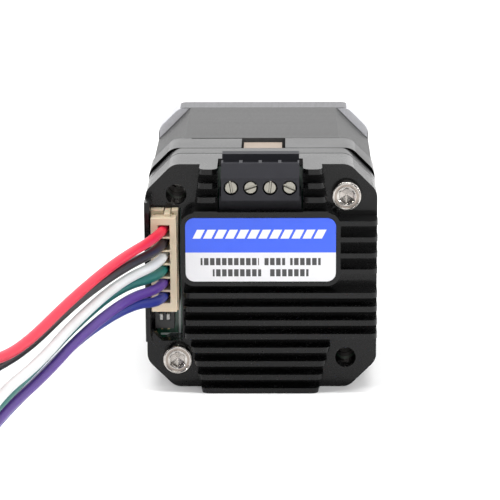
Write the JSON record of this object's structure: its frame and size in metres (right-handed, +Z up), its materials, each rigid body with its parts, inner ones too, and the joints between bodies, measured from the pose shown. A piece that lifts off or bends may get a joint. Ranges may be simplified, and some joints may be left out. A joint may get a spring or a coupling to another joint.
{
  "type": "integrated stepper motor with driver module",
  "caption": "Square-framed stepper motor with its driver board in a finned black cover at the rear, a pluggable screw terminal, a switch window and six coloured leads.",
  "frame": {"origin": "centre of the footprint, on the surface the motor lies on, measured without the leads", "axes": "+Y along the shaft, out of the front flange; +X right seen from the rear; +Z up, towards the screw terminal"},
  "size_m": [0.1042, 0.1686, 0.0437],
  "materials": {
    "cover_black": "satin black finish on die-cast aluminium",
    "cap_black": "satin black paint on die-cast aluminium",
    "label": "printed film label, blue and white",
    "board_green": "solder mask",
    "chip_black": "moulded epoxy",
    "pad_grey": "silicone gap pad",
    "can_silver": "sleeved can",
    "tinned": "tin plated",
    "gold": "gold flash",
    "switch_black": "moulded",
    "slider_white": "moulded",
    "nylon_cream": "natural nylon",
    "brass_crimp": "stamped",
    "terminal_black": "moulded polyamide",
    "plated": "nickel plated",
    "stack_grey": "dark painted lamination edges",
    "copper": "enamelled copper wire",
    "bare_aluminium": "machined and blasted",
    "ground_steel": "ground",
    "rotor_steel": "laminated",
    "magnet_dark": "sintered",
    "stainless": "stainless",
    "tie_black": "nylon",
    "wire_mixed": "six insulated leads in one coil",
    "wire_red": "vinyl insulation",
    "wire_black": "vinyl insulation",
    "wire_white": "vinyl insulation",
    "wire_green": "vinyl insulation",
    "wire_violet": "vinyl insulation",
    "wire_blue": "vinyl insulation"
  },
  "bodies": {
    "root": {"adapter_ring": "cap_black", "capacitors": "can_silver", "coil_tie": "tie_black", "cover_screws": "stainless", "crimp_contacts": "brass_crimp", "dip_leads": "gold", "dip_switch_body": "switch_black", "driver_chip": "chip_black", "driver_pcb": "board_green", "front_bearing_balls": "ground_steel", "front_bearing_outer": "ground_steel", "front_bobbin": "nylon_cream", "front_end_cap": "bare_aluminium", "heatsink_cover": "cover_black", "lead_black": "wire_black", "lead_blue": "wire_blue", "lead_coil": "wire_mixed", "lead_green": "wire_green", "lead_red": "wire_red", "lead_violet": "wire_violet", "lead_white": "wire_white", "motor_screws": "stainless", "nameplate": "label", "phase_pins": "tinned", "rear_bearing_balls": "ground_steel", "rear_bearing_outer": "ground_steel", "rear_bobbin": "nylon_cream", "rear_end_cap": "cap_black", "signal_header": "nylon_cream", "signal_pins": "tinned", "signal_plug": "nylon_cream", "small_parts": "chip_black", "stator_laminations": "stack_grey", "terminal_header": "terminal_black", "terminal_pins": "tinned", "thermal_pad": "pad_grey", "wave_washer": "ground_steel", "windings": "copper"},
    "rotor": {"shaft": "ground_steel", "rotor_cup_rear": "rotor_steel", "rotor_magnet": "magnet_dark", "rotor_cup_front": "rotor_steel", "rear_bearing_inner": "ground_steel", "front_bearing_inner": "ground_steel"},
    "terminal_plug": {"terminal_plug": "terminal_black", "plug_contacts": "tinned"},
    "screw_1": {"terminal_screw_1": "plated"},
    "cage_1": {"clamp_cage_1": "plated"},
    "screw_2": {"terminal_screw_2": "plated"},
    "cage_2": {"clamp_cage_2": "plated"},
    "screw_3": {"terminal_screw_3": "plated"},
    "cage_3": {"clamp_cage_3": "plated"},
    "screw_4": {"terminal_screw_4": "plated"},
    "cage_4": {"clamp_cage_4": "plated"},
    "slider_1": {"dip_slider_1": "slider_white"},
    "slider_2": {"dip_slider_2": "slider_white"}
  },
  "joints": [
    {"name": "rotor_spin", "type": "hinge", "parent": "root", "child": "rotor", "pos_m": [0, 0, 0.02115], "axis": [0, 1, 0], "continuous": true},
    {"name": "terminal_unplug", "type": "slide", "parent": "root", "child": "terminal_plug", "axis": [0, 0, 1], "range_m": [0, 0.0085]},
    {"name": "screw_1_turn", "type": "hinge", "parent": "terminal_plug", "child": "screw_1", "pos_m": [-0.00535, -0.042, 0.03945], "axis": [0, 1, 0], "range_deg": [0, 1080]},
    {"name": "cage_1_rise", "type": "slide", "parent": "terminal_plug", "child": "cage_1", "axis": [0, -1, 0], "range_m": [0, 0.0012]},
    {"name": "screw_2_turn", "type": "hinge", "parent": "terminal_plug", "child": "screw_2", "pos_m": [-0.00185, -0.042, 0.03945], "axis": [0, 1, 0], "range_deg": [0, 1080]},
    {"name": "cage_2_rise", "type": "slide", "parent": "terminal_plug", "child": "cage_2", "axis": [0, -1, 0], "range_m": [0, 0.0012]},
    {"name": "screw_3_turn", "type": "hinge", "parent": "terminal_plug", "child": "screw_3", "pos_m": [0.00165, -0.042, 0.03945], "axis": [0, 1, 0], "range_deg": [0, 1080]},
    {"name": "cage_3_rise", "type": "slide", "parent": "terminal_plug", "child": "cage_3", "axis": [0, -1, 0], "range_m": [0, 0.0012]},
    {"name": "screw_4_turn", "type": "hinge", "parent": "terminal_plug", "child": "screw_4", "pos_m": [0.00515, -0.042, 0.03945], "axis": [0, 1, 0], "range_deg": [0, 1080]},
    {"name": "cage_4_rise", "type": "slide", "parent": "terminal_plug", "child": "cage_4", "axis": [0, -1, 0], "range_m": [0, 0.0012]},
    {"name": "dip_1_slide", "type": "slide", "parent": "root", "child": "slider_1", "axis": [0, 0, 1], "range_m": [0, 0.0008]},
    {"name": "dip_2_slide", "type": "slide", "parent": "root", "child": "slider_2", "axis": [0, 0, 1], "range_m": [0, 0.0008]}
  ],
  "couplings": [
    {"joint": "screw_1_turn", "follows": "cage_1_rise", "rad_per_m": 15708},
    {"joint": "screw_2_turn", "follows": "cage_2_rise", "rad_per_m": 15708},
    {"joint": "screw_3_turn", "follows": "cage_3_rise", "rad_per_m": 15708},
    {"joint": "screw_4_turn", "follows": "cage_4_rise", "rad_per_m": 15708}
  ]
}
